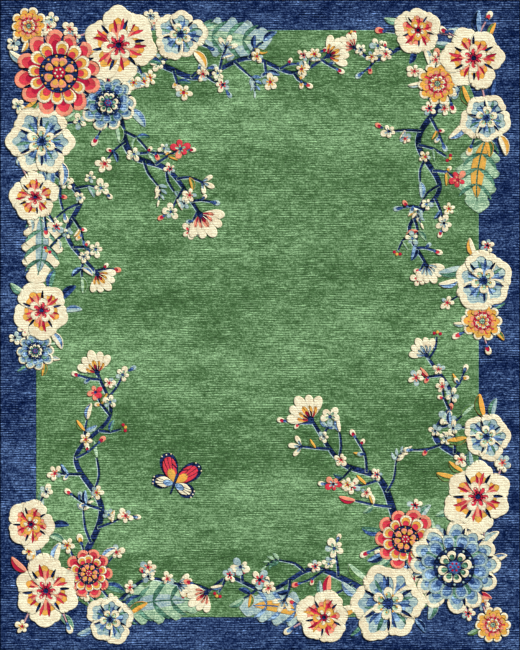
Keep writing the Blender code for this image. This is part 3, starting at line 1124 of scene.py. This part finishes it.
def pile_material(name):
    """Cut wool pile in one yarn: each row of tufts has its own streaks, over soft bands of dye."""
    yarn, streaks = YARNS[name], STREAKS.get(name, FLOWER_STREAKS)
    nodes = Nodes(name + "_pile")
    short = nodes.row_noise(130, 1.0)
    parts = [
        (short, streaks.short),
        (nodes.row_noise(36, 2.0), streaks.middle),
        (nodes.row_noise(11, 3.0), streaks.long),
        (nodes.stretched_noise(20, 45, 1.0, 5.0), streaks.patch),
        (nodes.stretched_noise(5, 16, 1.0, 6.0), streaks.band),
        (nodes.stretched_noise(1.6, 7, 1.0, 7.0), streaks.abrash),
    ]
    if name == "green":
        parts.append((nodes.math("ADD", nodes.dye_bands(), 0.5), 1.0))
    pairs = nodes.math("MULTIPLY", nodes.row_waves(), streaks.pairs)
    total = nodes.math("ADD", nodes.math("MULTIPLY", nodes.attribute("dye_shade"), DYE_SHADE), pairs)
    for noise, weight in parts:
        total = nodes.math("ADD", total, nodes.math("MULTIPLY", nodes.math("SUBTRACT", noise, 0.5), weight))
    # Painted shade darkens the pile in the carved slope next to each cut
    unshaded_share = nodes.math("SUBTRACT", 1.0, nodes.math("MULTIPLY", nodes.attribute("cut_painted_shade"), CUT_PAINTED_SHADE))
    light = nodes.math("MULTIPLY", nodes.math("POWER", streaks.contrast, total), unshaded_share)
    colour = nodes.mix(nodes.spread(total, -0.2, 0.3), linear(yarn.tone), linear(yarn.streak))
    grey = nodes.add("CombineColor", {"Red": light, "Green": light, "Blue": light})
    colour = nodes.mix(1.0, colour, grey.outputs["Color"], "MULTIPLY")
    tufts = nodes.add("TexVoronoi", {"Vector": nodes.cells(TUFTS), "Scale": 1.0, "Randomness": 0.7})
    hollows = nodes.math("MULTIPLY", tufts.outputs["Distance"], 0.5)
    relief = nodes.math("SUBTRACT", nodes.math("MULTIPLY", short, 0.8), hollows)
    return nodes.finished(colour, relief, 0.002, 1.0, 0.01)


def backing_material():
    """The woven cotton cloth glued over the back of the tufting."""
    nodes = Nodes("cotton_backing")
    threads = {"Vector": nodes.place(), "Scale": 110.0, "Distortion": 0.6}
    warp, weft = (nodes.add("TexWave", threads, bands_direction=axis).outputs["Fac"] for axis in "XY")
    weave = nodes.math("MULTIPLY", warp, weft)
    worn = nodes.stretched_noise(6, 6, 3.0)
    share = nodes.math("ADD", nodes.math("MULTIPLY", weave, 0.5), nodes.math("MULTIPLY", worn, 0.5))
    colour = nodes.mix(share, linear((176, 160, 130)), linear((222, 210, 184)))
    return nodes.finished(colour, weave, 0.0006, 0.95)


def edge_material():
    """Dark navy edging yarn, a little lighter where it is rubbed."""
    nodes = Nodes("overcast_yarn")
    fibre = nodes.stretched_noise(420, 420, 2.0)
    rubbed = nodes.stretched_noise(12, 12, 2.0, 4.0)
    share = nodes.math("ADD", nodes.math("MULTIPLY", fibre, 0.6), nodes.math("MULTIPLY", rubbed, 0.4))
    colour = nodes.mix(share, linear((5, 16, 40)), linear((14, 32, 66)))
    return nodes.finished(colour, fibre, 0.0004, 0.9, 0.05)


# The photograph's view: straight down, framed so that the head and right edges just show
CAMERA_LENS = 100.0
SENSOR_WIDTH = 36.0
CROPPED_FOOT = 0.0080
CROPPED_LEFT = 0.0080
CROPPED_HEAD = 0.0042
CROPPED_RIGHT = 0.0060


def add_camera():
    camera = new_object("camera", bpy.data.cameras.new("camera"))
    camera.data.lens = CAMERA_LENS
    camera.data.sensor_width = SENSOR_WIDTH
    seen_low_y, seen_high_y = WHOLE_LOW.y + CROPPED_FOOT, WHOLE_HIGH.y - CROPPED_HEAD
    height = (seen_high_y - seen_low_y) * CAMERA_LENS / SENSOR_WIDTH
    x = (WHOLE_LOW.x + CROPPED_LEFT + WHOLE_HIGH.x - CROPPED_RIGHT) / 2
    camera.location = (x, (seen_low_y + seen_high_y) / 2, WHOLE_HIGH.z + height)
    camera.data.clip_end = 100.0
    bpy.context.scene.camera = camera


# Light from the upper right, low enough to show the carving, and a soft fill
KEY_STRENGTH = 6.5
KEY_ELEVATION = math.radians(22)
KEY_AZIMUTH = math.radians(48)
KEY_SOFTNESS = math.radians(4)
FILL_STRENGTH = 0.21
FILL_COLOUR = (0.95, 0.97, 1.0, 1)


def add_lights():
    key = new_object("key_light", bpy.data.lights.new("key_light", "SUN"))
    key.data.energy = KEY_STRENGTH
    key.data.angle = KEY_SOFTNESS
    key.rotation_euler = (0, math.pi / 2 - KEY_ELEVATION, KEY_AZIMUTH)
    world = bpy.data.worlds.new("studio")
    world.use_nodes = True
    fill = world.node_tree.nodes["Background"].inputs
    fill["Color"].default_value = FILL_COLOUR
    fill["Strength"].default_value = FILL_STRENGTH
    bpy.context.scene.world = world


def add_floor():
    mesh = bpy.data.meshes.new("floor")
    half, below = 12.0, -0.001
    corners = [(-half, -half, below), (half, -half, below), (half, half, below), (-half, half, below)]
    mesh.from_pydata(corners, [], [(0, 1, 2, 3)])
    nodes = Nodes("pale_floor")
    colour = nodes.mix(nodes.stretched_noise(2, 2, 3.0), linear((214, 211, 205)), linear((224, 221, 216)))
    nodes.set(nodes.shader.inputs["Base Color"], colour)
    nodes.shader.inputs["Roughness"].default_value = 0.8
    mesh.materials.append(nodes.material)
    floor = new_object("floor", mesh)


for leftover in ("Cube", "Light", "Camera"):
    if leftover in bpy.data.objects:
        bpy.data.objects.remove(bpy.data.objects[leftover])

bpy.context.scene.view_settings.view_transform = "Standard"
add_camera()
add_lights()
add_floor()
lay_design()
pile = make_pile()
names = ["edge_foot", "edge_right", "edge_head", "edge_left"]
edge_yarn = edge_material()
edges = [make_edge(name, math.pi / 2 * quarter, edge_yarn) for quarter, name in enumerate(names)]
